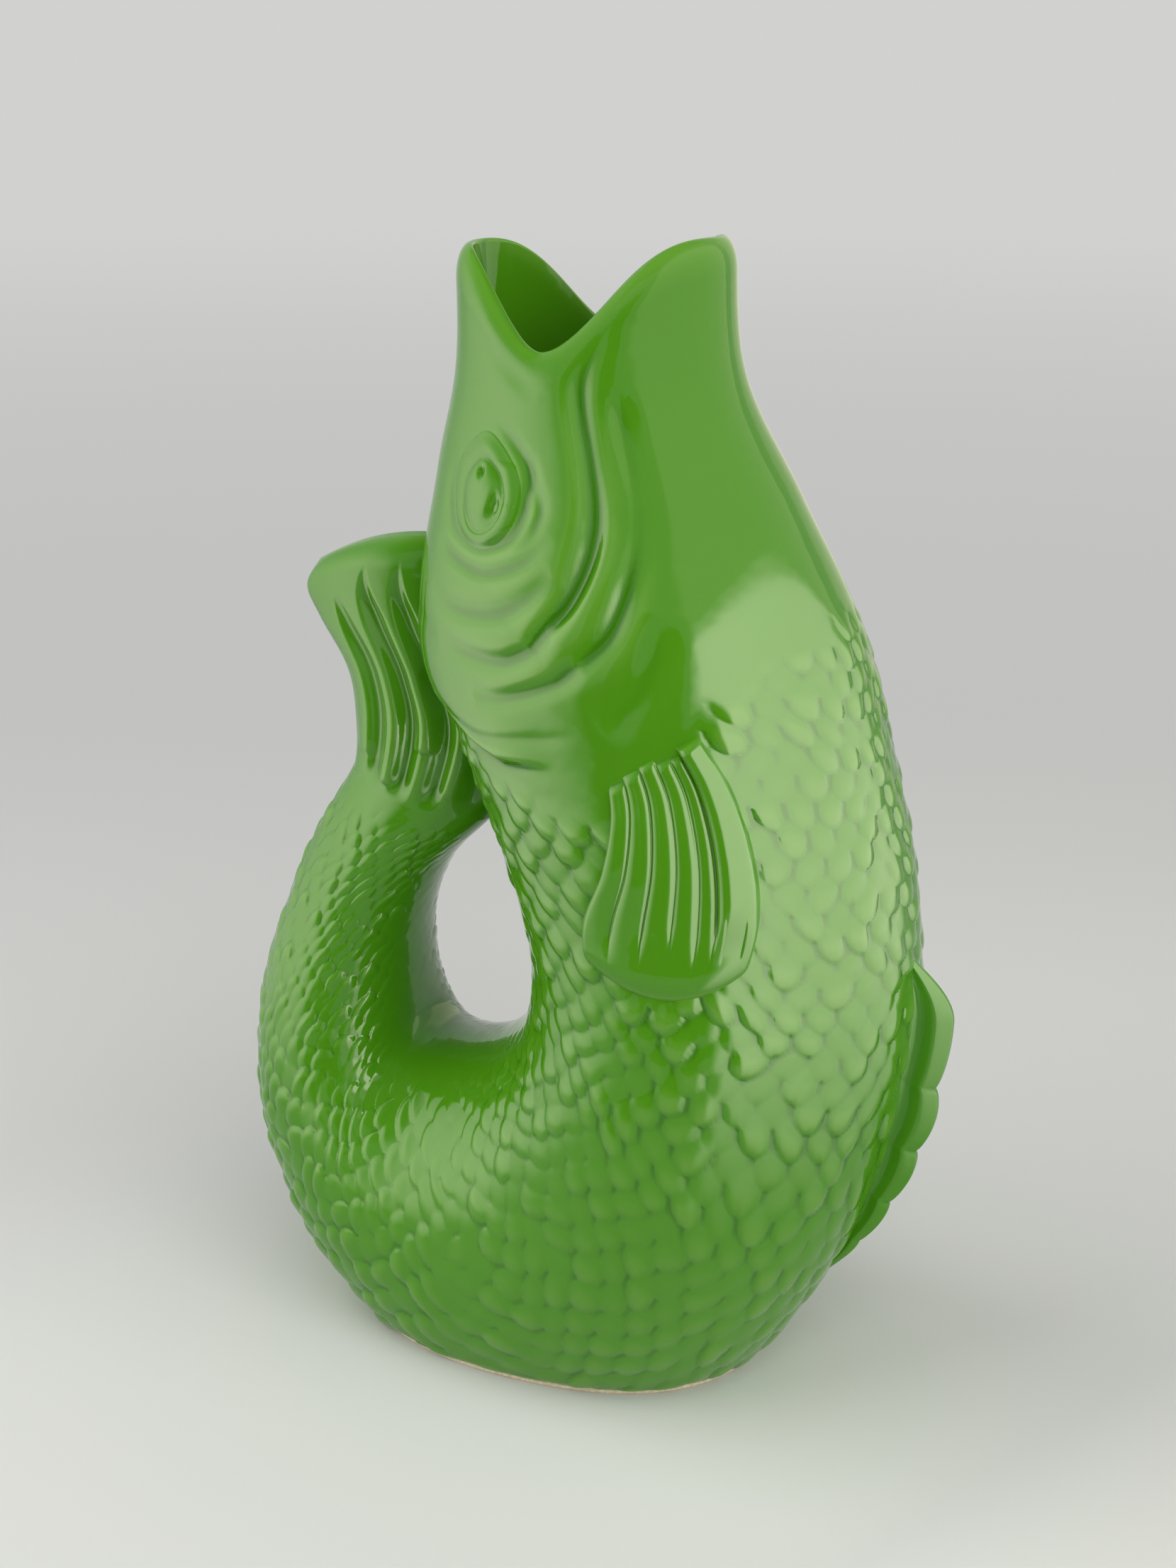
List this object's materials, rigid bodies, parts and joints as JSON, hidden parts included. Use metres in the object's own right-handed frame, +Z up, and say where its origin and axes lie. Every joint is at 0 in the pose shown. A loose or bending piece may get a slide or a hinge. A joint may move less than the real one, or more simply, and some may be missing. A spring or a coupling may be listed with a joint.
{
  "type": "fish carafe",
  "caption": "Hollow glazed earthenware carafe shaped as an upright fish: the open mouth pours and the tail curls up to the nape as a handle.",
  "frame": {"origin": "on the surface that the carafe stands on, under the middle of its bounding box", "axes": "+Z up; +X from the tail handle towards the belly; the fish is symmetric about the plane Y = 0"},
  "size_m": [0.2094, 0.116, 0.312],
  "materials": {
    "green_glaze": "glossy transparent green glaze over pale earthenware",
    "bare_clay": "unglazed fired clay"
  },
  "bodies": {
    "root": {"foot_ring": "bare_clay", "base_shell": "green_glaze", "trunk_shell": "green_glaze", "head_shell": "green_glaze", "tail_handle": "green_glaze", "tail_fin": "green_glaze", "belly_fin": "green_glaze", "pectoral_fin_left": "green_glaze", "pectoral_fin_right": "green_glaze", "eye_left": "green_glaze", "eye_right": "green_glaze"}
  },
  "joints": []
}
